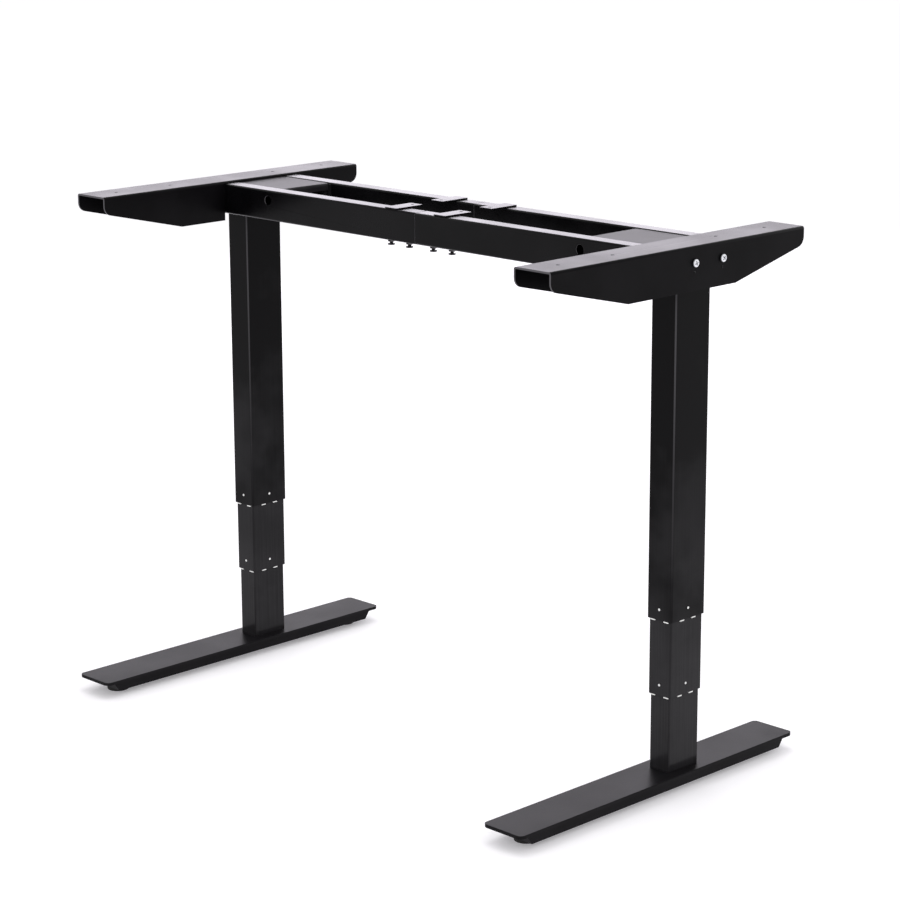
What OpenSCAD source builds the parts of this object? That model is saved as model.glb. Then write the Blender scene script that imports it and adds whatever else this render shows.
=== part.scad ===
// Height adjustable desk frame with two three stage legs.
// Each leg hangs under a side bracket and is driven by its own motor.
// The rails of the two halves slide over a pair of hidden connecting bars, which sets the width.
// The origin is on the floor, midway between the feet. X runs along the rails and the front is at minus Y.

/* [Frame] */
// Overall width over the side brackets with the rails pushed together
frame_w = 1100; // [1090:10:1250]
// Clear gap between the front rail and the rear rail
rail_gap = 106; // [104:1:120]
// Distance that the legs stand behind the middle of the feet
leg_setback = 69; // [40:1:80]
// Distance that the side brackets sit behind the middle of the feet
bracket_setback = 11; // [0:1:30]
// Distance from the outer face of a side bracket to the middle of its leg
leg_inset = 53; // [50:1:60]
// Height of leg stage that shows below each wider tube as the frame stands
stage_show = 124; // [60:1:240]
// Height of leg stage that still shows with the leg pushed right in
stage_left = 8; // [4:1:20]
// Distance that each stage can still slide out from here
stage_out = 204; // [150:1:220]

/* [Side brackets] */
// Length of a side bracket from front to back
bracket_l = 575; // [520:5:620]
// Width of a side bracket
bracket_w = 73; // [68:1:90]
// Thickness of the bracket sheet
bracket_t = 3; // [2:0.5:3.5]
// Depth of the flanges along their flat middle
bracket_depth = 68; // [62:1:80]
// Depth of the flanges at their sharp tips, before the tips are rounded
bracket_tip_depth = 28.5; // [24:0.5:40]
// Length of the flat lower edge of a flange
bracket_flat = 245; // [200:5:300]
// Radius of the rounded flange tips
bracket_tip_r = 16; // [8:1:20]
// Outside radius of the bends between the top and the flanges
bracket_bend_r = 4; // [3.5:0.5:6]
// Diameter of the screw holes in the bracket tops
bracket_hole_d = 6; // [5:0.5:8]
// Distance between the two inner screw holes
bracket_hole_inner = 234; // [180:2:280]
// Distance between the two outer screw holes
bracket_hole_outer = 468; // [420:2:500]
// Distance between the two bolts through the outer flange
bolt_pitch = 64; // [50:1:70]
// Depth of those bolts below the bracket top
bolt_drop = 25.5; // [22:0.5:30]
// Thread diameter of those bolts
bolt_d = 8; // [6:1:8]

/* [Rails] */
// Width of a rail
rail_w = 30; // [28:1:36]
// Height of a rail
rail_h = 52; // [52:1:60]
// Wall of a rail
rail_t = 2; // [1.5:0.5:2.5]
// Outside corner radius of a rail
rail_r = 3; // [2.8:0.1:4]
// Distance from the outer face of a side bracket to the end of the rails under it
rail_end = 50; // [46:1:60]
// Wall of a connecting bar
bar_t = 2.5; // [2:0.5:4]
// Room inside a rail between the end of a connecting bar and the head of the side screw
bar_room = 28; // [10:1:60]
// Distance from the seam to the first clamp screw
clamp_first = 28; // [20:1:35]
// Distance between the two clamp screws of a rail
clamp_pitch = 43; // [35:1:50]
// Diameter of the round access hole in a rail
access_d = 16; // [14:1:20]

/* [Desktop tabs] */
// Width of a desktop tab
tab_w = 28; // [24:1:36]
// Length of a desktop tab
tab_l = 60; // [50:1:70]
// Thickness of a desktop tab
tab_t = 2.5; // [2:0.5:3]
// Distance from the seam to the middle of a desktop tab
tab_x = 57; // [50:1:80]
// Distance from the tip of a tab to its screw hole
tab_hole_in = 10; // [8:1:14]
// Diameter of the screw hole in a tab
tab_hole_d = 6; // [5:0.5:7]

/* [Legs] */
// Length of the outer tube
outer_l = 538; // [500:2:640]
// Size of the outer tube along the rails
outer_w = 50; // [48:1:54]
// Size of the outer tube from front to back
outer_d = 80; // [76:1:90]
// Difference in size from one tube to the next one inside it
tube_step = 5; // [4.6:0.1:5]
// Wall of the leg tubes
tube_t = 1.5; // [1.2:0.1:1.5]
// Outside corner radius of the outer tube
tube_r = 3.5; // [3:0.1:5]
// Width of the hooks of the plastic glides
hook_w = 9; // [7:0.5:10]
// Height that the hooks show below the rim of a tube
hook_h = 2; // [1.5:0.5:3]
// Distance from the middle of a face to the middle of a hook
hook_in = 13.5; // [10:0.5:13.5]
// Height of the glide pins above the rim
pin_up = 17; // [12:1:22]
// Diameter of the glide pins
pin_d = 4; // [3:0.5:5]

/* [Drive] */
// Diameter of the upper spindle
upper_spindle_d = 16; // [14:1:16]
// Outside diameter of the hollow lower spindle
lower_spindle_d = 26; // [24:1:26]
// Depth of the nut block at the top of the middle tube
nut_depth = 34; // [34:1:44]
// Outside diameter of the worm wheel
wheel_d = 40; // [36:1:40]
// Diameter of the worm
worm_d = 14; // [10:1:14]
// Diameter of the motor
motor_d = 42; // [38:1:42]
// Length of the motor
motor_l = 75; // [60:1:80]
// Length of the gearbox along the rails
gearbox_l = 60; // [56:1:60]
// Thickness of the motor cover
cover_t = 1.5; // [1:0.5:1.5]

/* [Feet] */
// Length of a foot
foot_l = 645; // [600:5:720]
// Width of a foot
foot_w = 82; // [78:1:100]
// Height of a foot without its levelling glides
foot_h = 21; // [20:1:26]
// Thickness of the rim around the foot's top
foot_rim = 5; // [4:0.5:6]
// Thickness of the foot's sheet
foot_t = 3; // [2:0.5:3]
// Corner radius of the foot's top
foot_corner_r = 12; // [6:1:16]
// Distance that the foot's top overhangs its body on each side
foot_inset = 6; // [3:0.5:8]
// Height of the gap under a foot
foot_gap = 9; // [8:0.5:14]
// Diameter of the pad of a levelling glide
pad_d = 38; // [30:1:44]
// Thickness of the pad of a levelling glide
pad_h = 6; // [4:0.5:6]
// Distance from the end of a foot to the middle of its levelling glide
glide_in = 54; // [50:1:90]

/* [Hidden] */
$fn = 48;

// Signs that name the two halves and the two rails
left = -1;
right = 1;
front = -1;
rear = 1;

// Colours
steel_black = [0.11, 0.105, 0.115];
steel_grey = [0.42, 0.41, 0.43];
zinc = [0.8, 0.8, 0.82];
alloy = [0.62, 0.63, 0.65];
plastic_white = [0.92, 0.92, 0.9];
plastic_black = [0.07, 0.07, 0.075];
bronze = [0.65, 0.5, 0.25];

// Clearances
slide_gap = 0.3;
run_gap = 0.08;
thread_gap = 0.05;
hole_gap = 0.3;
seam_gap = 0.5;
notch_gap = 0.5;
bracket_gap = 0.5;
tip_gap = 0.1;
top_room = 14;
nut_room = 12;
cut = 1;

// Straight steps round each flange tip
tip_steps = 12;

// Screws that join the small parts
screw_d = 6;
screw_head_d = 11;
screw_head_h = 3.5;
socket_d = 5;
socket_depth = 2;
weld_nut_d = 12;
weld_nut_h = 4.5;
clamp_head_d = 12;
clamp_head_h = 2.2;
clamp_show = 3.3;
bolt_head_d = 13;
bolt_head_h = 4.5;
bolt_nut_d = 14;
bolt_nut_h = 6.5;
cross_l = 7;
cross_w = 1.8;
pip_d = 4;
pip_drop = 14;

// Levels, from the floor up
foot_top = foot_gap + foot_h;
middle_z = foot_top + stage_show;
outer_z = middle_z + stage_show;
rail_z = outer_z + outer_l;
rail_top = rail_z + rail_h;
bracket_under = rail_top + bracket_gap;
top_z = bracket_under + bracket_t;
bolt_z = top_z - bolt_drop;

// Places along and across the frame
leg_x = frame_w / 2 - leg_inset;
leg_y = leg_setback;
bracket_x = frame_w / 2 - bracket_w / 2;
rails_w = rail_gap + 2 * rail_w;
rail_y = rail_gap / 2 + rail_w / 2;
plate_t = 3;
end_plate_x = frame_w / 2 - bracket_t - plate_t;
rail_x = seam_gap / 2;

// Cradle that carries the leg and its drive between the rails
cradle_in = 146;
cradle_x = leg_x - cradle_in;
cradle_floor = rail_z + plate_t;
cover_drop = 1;
cover_gap = 1.5;
cover_lip = 12;
cover_bend_r = 5;
cover_start = 4;
cover_top = rail_top - cover_drop;
cover_under = cover_top - cover_t;
ear_l = 17;
ear_low = 9;
side_screw_x = cradle_x + cover_start + ear_l / 2;
side_screw_up = 34;
side_screw_z = rail_z + side_screw_up;
wall_in = rail_gap / 2 - plate_t;
bar_half = side_screw_x - screw_head_d / 2 - bar_room;

// Drive
gear_up = 24;
gear_z = cradle_floor + gear_up;
wheel_t = 12;
wheel_teeth = 24;
tooth_d = 3;
tooth_gap = 0.3;
worm_off = (wheel_d + worm_d) / 2 + tooth_gap;
worm_l = 30;
worm_shaft_d = 8;
housing_h = 39;
housing_floor = 10;
housing_r = 6;
housing_wall = 3.5;
housing_front = wheel_d / 2 + tooth_gap + 2 * housing_wall;
housing_back = 12;
housing_rear = worm_off + worm_d / 2 + housing_back;
housing_w = housing_front + housing_rear;
housing_y = (housing_rear - housing_front) / 2;
wheel_room = 3;
worm_room = 2;
lid_t = 3;
lid_z = cradle_floor + housing_h;
gear_screw_d = 5;
gear_screw_head_d = 8.5;
gear_screw_head_h = 2.5;
gear_screw_in = 4.5;
collar_d = 24;
journal_d = 10;
pilot_l = 4;
motor_cap_l = 5;
socket_l = 12;
socket_w = 20;
socket_h = 14;
socket_wall = 2;

// Stages of a leg
middle_w = outer_w - tube_step;
middle_d = outer_d - tube_step;
inner_w = middle_w - tube_step;
inner_d = middle_d - tube_step;
tube_r_step = 0.5;
middle_r = tube_r - tube_r_step;
inner_r = middle_r - tube_r_step;
middle_l = outer_l + stage_left - top_room;
inner_l = middle_l + stage_left - nut_depth - nut_room;
middle_top = middle_z + middle_l;
inner_top = foot_top + inner_l;
strip_t = 0.6;
strip_h = 30;
strip_w = 36;
pin_proud = 0.1;
hook_back = 0.2;

// Nuts and spindles
nut_flange_t = 4;
flange_r = 1.2;
nut_r = 1.1;
head_flange = 3;
head_d = lower_spindle_d + 2 * head_flange;
head_top = 14;
head_h = 12;
lower_nut_depth = 30;
bore_gap = 0.5;
key_w = 3.2;
key_h = 1.6;
key_gap = 0.4;
key_grip = 12;
upper_spindle_low = middle_top - head_top - head_h - stage_out - key_grip;
lower_spindle_low = inner_top - lower_nut_depth - stage_out - key_grip;

// Feet
foot_edge_r = 1.5;
foot_end_in = 15;
foot_end_slope = 15;
insert_d = 16;
stud_d = 8;
stud_short = 3;
foot_plate_h = 8;
foot_screw_x = 10;
foot_screw_y = 24;
foot_body_w = foot_w - 2 * foot_inset;
glide_y = foot_l / 2 - glide_in;
pad_bevel = 2;

// Mirrors a right hand piece to the half that is asked for
module on_side(side) {
    if (side == left) mirror([1, 0, 0]) children();
    else children();
}

// Turns a drawing so that its x runs along Y, its y runs up, and it is extruded along X
module along_x(length) {
    rotate([90, 0, 90]) linear_extrude(length) children();
}

// Turns a drawing so that its y runs up, and it is extruded along Y from the middle both ways
module along_y(length) {
    translate([0, length / 2, 0]) rotate([90, 0, 0]) linear_extrude(length) children();
}

module rounded_rect(w, d, r) {
    square([w - 2 * r, d], center = true);
    square([w, d - 2 * r], center = true);
    for (sx = [-1, 1], sy = [-1, 1]) translate([sx * (w / 2 - r), sy * (d / 2 - r)]) circle(r);
}

module hollow_rect(w, d, t, r) {
    difference() {
        rounded_rect(w, d, r);
        rounded_rect(w - 2 * t, d - 2 * t, r - t);
    }
}

// A shape of height h below y = 0 with its two upper corners rounded
module top_rounded(w, h, r) {
    translate([-w / 2, -h]) square([w, h - r]);
    translate([-w / 2 + r, -h]) square([w - 2 * r, h]);
    for (s = [-1, 1]) translate([s * (w / 2 - r), -r]) circle(r);
}

// Places children at both rails, turned so that local y points away from the leg
module per_row(row) {
    translate([0, leg_y, 0]) {
        if (row == front) mirror([0, 1, 0]) children();
        else children();
    }
}

// Side of a bracket, seen along the rails, reaching a little above its top at y = 0
module flange_outline() {
    taper = atan((bracket_depth - bracket_tip_depth) / ((bracket_l - bracket_flat) / 2));
    centre = [bracket_l / 2 - bracket_tip_r, -bracket_tip_depth + bracket_tip_r * (1 - sin(taper)) / cos(taper)];
    turn = 90 - taper;
    tip = [for (i = [0 : tip_steps]) centre + bracket_tip_r * [cos(turn * i / tip_steps), -sin(turn * i / tip_steps)]];
    half = concat([[bracket_l / 2, cut]], tip, [[bracket_flat / 2, -bracket_depth]]);
    other = [for (i = [len(half) - 1 : -1 : 0]) [-half[i].x, half[i].y]];
    polygon(concat(half, other));
}

module channel_profile() {
    difference() {
        top_rounded(bracket_w, bracket_depth + cut, bracket_bend_r);
        translate([0, -bracket_t])
            top_rounded(bracket_w - 2 * bracket_t, bracket_depth + cut, bracket_bend_r - bracket_t);
    }
}

module side_bracket(side) {
    color(steel_black) on_side(side) difference() {
        intersection() {
            translate([bracket_x, bracket_setback, top_z]) along_y(bracket_l + 2 * cut) channel_profile();
            translate([bracket_x - bracket_w / 2 - cut, bracket_setback, top_z])
                along_x(bracket_w + 2 * cut) flange_outline();
        }
        translate([frame_w / 2 - bracket_w - cut, leg_y - rails_w / 2 - notch_gap, top_z - bracket_depth - cut])
            cube([bracket_t + 2 * cut, rails_w + 2 * notch_gap, bracket_depth - bracket_t + cut]);
        for (pitch = [bracket_hole_inner, bracket_hole_outer], s = [-1, 1])
            translate([bracket_x, bracket_setback + s * pitch / 2, bracket_under - cut])
                cylinder(d = bracket_hole_d, h = bracket_t + 2 * cut);
        for (s = [-1, 1]) translate([end_plate_x + plate_t - cut, leg_y + s * bolt_pitch / 2, bolt_z]) {
            rotate([0, 90, 0]) cylinder(d = bolt_d + 2 * hole_gap, h = bracket_t + 2 * cut);
            translate([0, 0, -pip_drop]) rotate([0, 90, 0]) cylinder(d = pip_d, h = bracket_t + 2 * cut);
        }
    }
}

module rail(side, row) {
    length = frame_w / 2 - rail_end - rail_x;
    color(steel_black) on_side(side) per_row(row) difference() {
        union() {
            translate([rail_x, rail_y, rail_z + rail_h / 2])
                along_x(length) hollow_rect(rail_w, rail_h, rail_t, rail_r);
            for (i = [0, 1]) translate([clamp_first + i * clamp_pitch, rail_y, rail_z - weld_nut_h])
                cylinder(d = weld_nut_d, h = weld_nut_h + rail_t / 2, $fn = 6);
        }
        for (i = [0, 1]) translate([clamp_first + i * clamp_pitch, rail_y, rail_z - weld_nut_h - cut])
            cylinder(d = screw_d + 2 * thread_gap, h = weld_nut_h + rail_t + 2 * cut);
        translate([side_screw_x, rails_w / 2 + cut, side_screw_z])
            rotate([90, 0, 0]) cylinder(d = access_d, h = rail_t + 2 * cut);
        translate([side_screw_x, rail_gap / 2 + rail_t + cut, side_screw_z])
            rotate([90, 0, 0]) cylinder(d = screw_d + 2 * hole_gap, h = rail_t + 2 * cut);
    }
}

module connecting_bar(row) {
    w = rail_w - 2 * rail_t - 2 * slide_gap;
    h = rail_h - 2 * rail_t - 2 * slide_gap;
    color(steel_grey) per_row(row) translate([-bar_half, rail_y, rail_z + rail_h / 2])
        along_x(2 * bar_half) difference() {
            square([w, h], center = true);
            square([w - 2 * bar_t, h - 2 * bar_t], center = true);
        }
}

module desktop_tab(side, row) {
    color(steel_black) on_side(side) per_row(row)
        translate([tab_x, rails_w / 2 - tab_l / 2, rail_top]) difference() {
            linear_extrude(tab_t) rounded_rect(tab_w, tab_l, tab_t);
            translate([0, tab_hole_in - tab_l / 2, -cut]) cylinder(d = tab_hole_d, h = tab_t + 2 * cut);
        }
}

module clamp_screws(side) {
    show = weld_nut_h + clamp_show;
    tip = rail_t + slide_gap - tip_gap;
    color(plastic_black) on_side(side) for (row = [front, rear], i = [0, 1]) per_row(row)
        translate([clamp_first + i * clamp_pitch, rail_y, rail_z - show]) difference() {
            union() {
                translate([0, 0, -clamp_head_h]) cylinder(d = clamp_head_d, h = clamp_head_h);
                cylinder(d = screw_d, h = show + tip);
            }
            translate([0, 0, -clamp_head_h - cut]) cylinder(d = socket_d, h = socket_depth + cut, $fn = 6);
        }
}

module bracket_bolts(side) {
    shank = bracket_t + plate_t + bolt_nut_h + bolt_d / 4;
    color(zinc) on_side(side) for (s = [-1, 1])
        translate([frame_w / 2, leg_y + s * bolt_pitch / 2, bolt_z]) rotate([0, 90, 0]) difference() {
            union() {
                translate([0, 0, -shank]) cylinder(d = bolt_d, h = shank);
                rotate_extrude() polygon([[0, 0], [bolt_head_d / 2, 0], [bolt_head_d / 2, bolt_head_h / 2],
                    [bolt_head_d / 3, bolt_head_h], [0, bolt_head_h]]);
            }
            for (a = [0, 90]) rotate([0, 0, a]) translate([-cross_l / 2, -cross_w / 2, bolt_head_h - socket_depth])
                cube([cross_l, cross_w, socket_depth + cut]);
        }
}

module side_screws(side) {
    reach = rail_t + plate_t + cover_t + weld_nut_h;
    color(zinc) on_side(side) for (row = [front, rear]) per_row(row)
        translate([side_screw_x, rail_gap / 2 + rail_t, side_screw_z]) rotate([-90, 0, 0]) difference() {
            union() {
                translate([0, 0, -reach]) cylinder(d = screw_d, h = reach);
                cylinder(d = screw_head_d, h = screw_head_h);
            }
            translate([0, 0, screw_head_h - socket_depth])
                cylinder(d = socket_d, h = socket_depth + cut, $fn = 6);
        }
}

module leg_cradle(side) {
    bolt_hole = bolt_d + 2 * hole_gap;
    color(steel_black) on_side(side) difference() {
        union() {
            translate([cradle_x, leg_y - rail_gap / 2, rail_z])
                cube([end_plate_x - cradle_x, rail_gap, plate_t]);
            for (s = [-1, 1]) translate([cradle_x, leg_y + s * (wall_in + plate_t / 2) - plate_t / 2, rail_z])
                cube([end_plate_x - cradle_x, plate_t, cover_under - rail_z]);
            translate([end_plate_x, leg_y - rail_gap / 2, rail_z])
                cube([plate_t, rail_gap, rail_h - bracket_bend_r + bracket_t]);
            for (s = [-1, 1]) translate([end_plate_x - bolt_nut_h, leg_y + s * bolt_pitch / 2, bolt_z])
                rotate([0, 90, 0]) cylinder(d = bolt_nut_d, h = bolt_nut_h + plate_t / 2, $fn = 6);
        }
        for (s = [-1, 1]) translate([end_plate_x, leg_y + s * bolt_pitch / 2, bolt_z]) {
            translate([-bolt_nut_h - cut, 0, 0])
                rotate([0, 90, 0]) cylinder(d = bolt_d + 2 * thread_gap, h = bolt_nut_h + 2 * cut);
            rotate([0, 90, 0]) cylinder(d = bolt_hole, h = plate_t + cut);
        }
        for (row = [front, rear]) per_row(row) translate([side_screw_x, rail_gap / 2 + cut, side_screw_z])
            rotate([90, 0, 0]) cylinder(d = screw_d + 2 * hole_gap, h = plate_t + 2 * cut);
        translate([leg_x, leg_y, rail_z - cut])
            cylinder(d = upper_spindle_d + 4 * hole_gap, h = plate_t + 2 * cut);
        for (p = gear_screw_places()) translate([p.x, p.y, rail_z + plate_t / 4])
            cylinder(d = gear_screw_d + 2 * thread_gap, h = plate_t + cut);
    }
}

// Centres of the four long screws that hold the gearbox to its cradle
function gear_screw_places() = [for (sx = [-1, 1], y = [-housing_front + gear_screw_in, housing_rear - gear_screw_in])
    [leg_x + sx * (gearbox_l / 2 - gear_screw_in), leg_y + y]];

module gearbox_housing(side) {
    color(alloy) on_side(side) difference() {
        translate([leg_x, leg_y + housing_y, cradle_floor])
            linear_extrude(housing_h) rounded_rect(gearbox_l, housing_w, housing_r);
        translate([leg_x, leg_y, cradle_floor + housing_floor])
            cylinder(d = wheel_d + 2 * wheel_room, h = housing_h);
        translate([leg_x - gearbox_l / 2 - cut, leg_y + worm_off, gear_z])
            rotate([0, 90, 0]) cylinder(d = worm_d + 2 * worm_room, h = gearbox_l - 2 * housing_wall + cut);
        translate([leg_x, leg_y, cradle_floor - cut])
            cylinder(d = upper_spindle_d + 2 * run_gap, h = housing_floor + 2 * cut);
        for (p = gear_screw_places()) translate([p.x, p.y, cradle_floor - cut])
            cylinder(d = gear_screw_d + 2 * hole_gap, h = housing_h + 2 * cut);
    }
}

module gearbox_lid(side) {
    color(alloy) on_side(side) difference() {
        translate([leg_x, leg_y + housing_y, lid_z]) linear_extrude(lid_t)
            rounded_rect(gearbox_l, housing_w, housing_r);
        translate([leg_x, leg_y, lid_z - cut]) cylinder(d = journal_d + 2 * run_gap, h = lid_t + 2 * cut);
        for (p = gear_screw_places()) translate([p.x, p.y, lid_z - cut])
            cylinder(d = gear_screw_d + 2 * hole_gap, h = lid_t + 2 * cut);
    }
}

module gearbox_screws(side) {
    length = lid_z + lid_t - rail_z - plate_t / 2;
    color(zinc) on_side(side) for (p = gear_screw_places())
        translate([p.x, p.y, lid_z + lid_t]) difference() {
            union() {
                translate([0, 0, -length]) cylinder(d = gear_screw_d, h = length);
                cylinder(d = gear_screw_head_d, h = gear_screw_head_h);
            }
            translate([0, 0, gear_screw_head_h / 2])
                cylinder(d = gear_screw_d / 2, h = gear_screw_head_h, $fn = 6);
        }
}

module motor(side) {
    face_x = leg_x - gearbox_l / 2;
    edge = motor_d / 20;
    color(plastic_black) on_side(side) translate([face_x, leg_y + worm_off, gear_z]) {
        difference() {
            union() {
                rotate([0, -90, 0]) rotate_extrude() polygon([[0, 0], [motor_d / 2, 0],
                    [motor_d / 2, motor_l - edge], [motor_d / 2 - edge, motor_l], [0, motor_l]]);
                translate([-motor_l - motor_cap_l, 0, 0])
                    rotate([0, 90, 0]) cylinder(d = motor_d * 0.6, h = motor_cap_l + edge);
                translate([-motor_l - socket_l, -socket_w / 2, -socket_h / 2])
                    cube([socket_l + edge, socket_w, socket_h]);
                rotate([0, 90, 0]) cylinder(d = worm_d + 2 * worm_room - 2 * run_gap, h = pilot_l);
                rotate([0, 90, 0]) cylinder(d = worm_shaft_d, h = gearbox_l / 2 + worm_l / 2 + pilot_l);
                translate([gearbox_l / 2 - worm_l / 2, 0, 0]) rotate([0, 90, 0]) cylinder(d = worm_d, h = worm_l);
            }
            translate([-motor_l - socket_l - cut, socket_wall - socket_w / 2, socket_wall - socket_h / 2])
                cube([socket_l - socket_wall + cut, socket_w - 2 * socket_wall, socket_h - 2 * socket_wall]);
        }
    }
}

// Edge view of the motor cover, a sheet with its inboard end bent down
module cover_profile() {
    x0 = cradle_x + cover_start;
    r = cover_bend_r;
    difference() {
        union() {
            translate([x0 + r, cover_under]) square([end_plate_x - x0 - r, cover_t]);
            translate([x0, cover_top - cover_lip]) square([cover_t, cover_lip - r]);
            translate([x0 + r, cover_top - r]) intersection() {
                circle(r);
                translate([-r, 0]) square([r, r]);
            }
        }
        translate([x0 + r, cover_top - r]) circle(r - cover_t);
    }
}

module motor_cover(side) {
    x0 = cradle_x + cover_start;
    ear_z = side_screw_z - ear_low;
    color(steel_grey) on_side(side) translate([0, leg_y, 0]) difference() {
        union() {
            along_y(2 * (wall_in - slide_gap)) cover_profile();
            translate([x0 + cover_bend_r, cover_gap - rail_gap / 2, cover_under])
                cube([end_plate_x - x0 - cover_bend_r, rail_gap - 2 * cover_gap, cover_t]);
            for (s = [-1, 1]) translate([x0 + cover_bend_r, s * (wall_in - cover_t / 2) - cover_t / 2, ear_z])
                cube([ear_l - cover_bend_r, cover_t, cover_under - ear_z + cover_t / 2]);
            for (s = [-1, 1]) translate([side_screw_x, s * (wall_in - cover_t - weld_nut_h / 2), side_screw_z])
                rotate([90, 0, 0]) cylinder(d = weld_nut_d, h = weld_nut_h + cover_t / 4, center = true, $fn = 6);
        }
        for (s = [-1, 1]) translate([side_screw_x, s * wall_in, side_screw_z]) rotate([90, 0, 0])
            cylinder(d = screw_d + 2 * thread_gap, h = 2 * (cover_t + weld_nut_h + cut), center = true);
    }
}

module worm_wheel(side) {
    color(bronze) on_side(side) translate([leg_x, leg_y, gear_z - wheel_t / 2]) difference() {
        cylinder(d = wheel_d, h = wheel_t);
        translate([0, 0, -cut]) cylinder(d = upper_spindle_d + 2 * thread_gap, h = wheel_t + 2 * cut);
        for (i = [0 : wheel_teeth - 1]) rotate([0, 0, i * 360 / wheel_teeth])
            translate([wheel_d / 2, 0, -cut]) cylinder(d = tooth_d, h = wheel_t + 2 * cut);
    }
}

module upper_spindle(side) {
    wheel_low = gear_z - wheel_t / 2;
    wheel_high = gear_z + wheel_t / 2;
    collar_low = cradle_floor + housing_floor + slide_gap;
    shoulder = wheel_high + slide_gap;
    groove_r = upper_spindle_d / 2 - key_h - key_gap;
    color(zinc) on_side(side) translate([leg_x, leg_y, 0]) difference() {
        union() {
            translate([0, 0, upper_spindle_low])
                cylinder(d = upper_spindle_d, h = shoulder - upper_spindle_low);
            translate([0, 0, collar_low]) cylinder(d = collar_d, h = wheel_low - collar_low);
            translate([0, 0, shoulder]) cylinder(d = journal_d, h = lid_z + lid_t - shoulder - slide_gap);
        }
        for (a = [0, 180]) rotate([0, 0, a])
            translate([groove_r, -key_w / 2 - key_gap, upper_spindle_low - cut])
                cube([upper_spindle_d, key_w + 2 * key_gap, rail_z - upper_spindle_low]);
    }
}

module lower_spindle(side) {
    bore_d = upper_spindle_d + 2 * bore_gap;
    head_low = middle_top - head_top - head_h + slide_gap;
    head_high = middle_top - head_top - slide_gap;
    key_r = upper_spindle_d / 2 - key_h;
    color(zinc) on_side(side) translate([leg_x, leg_y, 0]) {
        difference() {
            union() {
                translate([0, 0, lower_spindle_low])
                    cylinder(d = lower_spindle_d, h = head_low - lower_spindle_low);
                translate([0, 0, head_low]) cylinder(d = head_d, h = head_high - head_low);
            }
            translate([0, 0, lower_spindle_low - cut])
                cylinder(d = bore_d, h = head_high - lower_spindle_low + 2 * cut);
        }
        for (a = [0, 180]) rotate([0, 0, a]) translate([key_r, -key_w / 2, head_low])
            cube([lower_spindle_d / 2 - key_r, key_w, head_high - head_low]);
    }
}

// Nut block with a guide flange that sits on the top of a tube
module nut_block(in_w, in_d, over_w, over_d, depth) {
    translate([0, 0, -depth]) linear_extrude(depth)
        rounded_rect(in_w - 2 * slide_gap, in_d - 2 * slide_gap, nut_r);
    linear_extrude(nut_flange_t)
        rounded_rect(over_w - 2 * slide_gap, over_d - 2 * slide_gap, flange_r);
}

module upper_nut(side) {
    bore_low = head_top + head_h;
    color(plastic_white) on_side(side) translate([leg_x, leg_y, middle_top]) difference() {
        nut_block(middle_w - 2 * tube_t, middle_d - 2 * tube_t, outer_w - 2 * tube_t, outer_d - 2 * tube_t, nut_depth);
        translate([0, 0, -head_top - cut])
            cylinder(d = upper_spindle_d + 2 * run_gap, h = head_top + nut_flange_t + 2 * cut);
        translate([0, 0, -bore_low]) cylinder(d = head_d + 2 * slide_gap, h = head_h);
        translate([0, 0, -nut_depth - cut])
            cylinder(d = lower_spindle_d + 2 * run_gap, h = nut_depth - bore_low + 2 * cut);
    }
}

module lower_nut(side) {
    color(bronze) on_side(side) translate([leg_x, leg_y, inner_top]) difference() {
        nut_block(inner_w - 2 * tube_t, inner_d - 2 * tube_t, middle_w - 2 * tube_t, middle_d - 2 * tube_t,
            lower_nut_depth);
        translate([0, 0, -lower_nut_depth - cut])
            cylinder(d = lower_spindle_d + 2 * run_gap, h = lower_nut_depth + nut_flange_t + 2 * cut);
    }
}

// One upright leg tube, with a hole for a glide pin in each face where it has glides
module leg_tube(w, d, r, low, length, pins) {
    translate([leg_x, leg_y, low]) difference() {
        linear_extrude(length) hollow_rect(w, d, tube_t, r);
        if (pins) {
            translate([0, 0, pin_up]) rotate([0, 90, 0])
                cylinder(d = pin_d + 2 * hole_gap, h = w + 2 * cut, center = true);
            translate([0, 0, pin_up]) rotate([90, 0, 0])
                cylinder(d = pin_d + 2 * hole_gap, h = d + 2 * cut, center = true);
        }
    }
}

module outer_tube(side) {
    color(steel_black) on_side(side) leg_tube(outer_w, outer_d, tube_r, outer_z, outer_l, true);
}

module middle_tube(side) {
    color(steel_black) on_side(side) leg_tube(middle_w, middle_d, middle_r, middle_z, middle_l, true);
}

module inner_tube(side) {
    color(steel_black) on_side(side) leg_tube(inner_w, inner_d, inner_r, foot_top, inner_l, false);
}

// One plastic glide inside a tube face, drawn with the outer face of the wall at x = 0
module glide_strip() {
    back = tube_t + strip_t;
    translate([-back, -strip_w / 2, 0]) cube([strip_t, strip_w, strip_h]);
    translate([-back + strip_t / 2, 0, pin_up]) rotate([0, 90, 0])
        cylinder(d = pin_d, h = tube_t + strip_t / 2 + pin_proud);
    for (s = [-1, 1]) translate([-back, s * hook_in - hook_w / 2, -hook_h]) {
        cube([back - hook_back, hook_w, hook_h]);
        cube([strip_t, hook_w, 2 * hook_h]);
    }
}

module glide_set(w, d, low) {
    translate([leg_x, leg_y, low]) for (i = [0 : 3]) rotate([0, 0, i * 90])
        translate([(i % 2 == 0 ? w : d) / 2, 0, 0]) glide_strip();
}

module outer_glides(side) {
    color(plastic_white) on_side(side) glide_set(outer_w, outer_d, outer_z);
}

module middle_glides(side) {
    color(plastic_white) on_side(side) glide_set(middle_w, middle_d, middle_z);
}

// Centres of the four screws between a foot and its leg, from the middle of the leg
function foot_screw_places() = [for (sx = [-1, 1], sy = [-1, 1]) [sx * foot_screw_x, sy * foot_screw_y]];

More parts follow.
